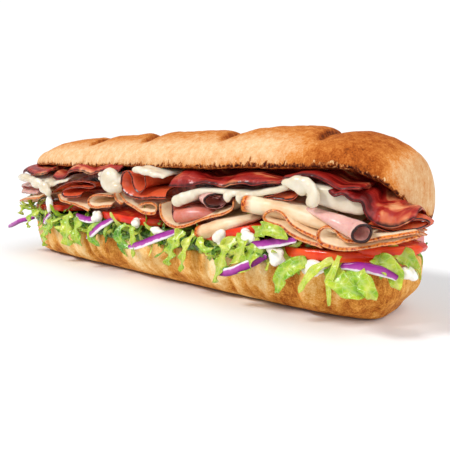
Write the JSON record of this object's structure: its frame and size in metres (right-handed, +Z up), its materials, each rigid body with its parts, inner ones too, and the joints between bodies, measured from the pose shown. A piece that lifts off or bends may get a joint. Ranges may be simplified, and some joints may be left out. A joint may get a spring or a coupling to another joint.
{
  "type": "submarine sandwich",
  "caption": "Long split bread roll filled along its open side with lettuce, onion, tomato, folded turkey and ham, melted cheese and bacon.",
  "frame": {"origin": "on the ground, under the middle of the heel's flat base", "axes": "+X along the loaf towards its sagging end, -Y out of the open front side, +Z up"},
  "size_m": [0.3229, 0.0921, 0.0935],
  "materials": {
    "crust": "matt baked crust",
    "lettuce": "damp leaf, soft sheen",
    "tomato": "wet and glossy",
    "onion": "wet, slightly clear",
    "sauce": "smooth and glossy",
    "turkey": "moist cooked meat, soft sheen",
    "ham": "moist cured meat, soft sheen",
    "cheese": "melted, smooth and glossy",
    "bacon": "fried, greasy gloss"
  },
  "bodies": {
    "root": {"bread_heel": "crust", "bread_crown": "crust", "lettuce_heap": "lettuce", "tomato_slice_1": "tomato", "tomato_slice_2": "tomato", "tomato_slice_3": "tomato", "tomato_slice_4": "tomato", "tomato_slice_5": "tomato", "onion_sliver_1": "onion", "onion_sliver_2": "onion", "onion_sliver_3": "onion", "onion_sliver_4": "onion", "onion_sliver_5": "onion", "onion_sliver_6": "onion", "onion_sliver_7": "onion", "onion_sliver_8": "onion", "sauce_dollop_1": "sauce", "sauce_dollop_2": "sauce", "sauce_dollop_3": "sauce", "sauce_dollop_4": "sauce", "sauce_dollop_5": "sauce", "sauce_dollop_6": "sauce", "sauce_dollop_7": "sauce", "sauce_dollop_8": "sauce", "sauce_dollop_9": "sauce", "turkey_slice_1": "turkey", "turkey_slice_2": "turkey", "turkey_slice_3": "turkey", "turkey_slice_4": "turkey", "turkey_slice_5": "turkey", "turkey_slice_6": "turkey", "turkey_slice_7": "turkey", "turkey_slice_8": "turkey", "turkey_slice_9": "turkey", "ham_slice_1": "ham", "ham_slice_2": "ham", "ham_slice_3": "ham", "ham_slice_4": "ham", "ham_slice_5": "ham", "ham_slice_6": "ham", "ham_slice_7": "ham", "cheese_slice_1": "cheese", "cheese_slice_2": "cheese", "cheese_slice_3": "cheese", "cheese_slice_4": "cheese", "cheese_slice_5": "cheese", "bacon_strip_1": "bacon", "bacon_strip_2": "bacon", "bacon_strip_3": "bacon", "bacon_strip_4": "bacon", "bacon_strip_5": "bacon"}
  },
  "joints": []
}
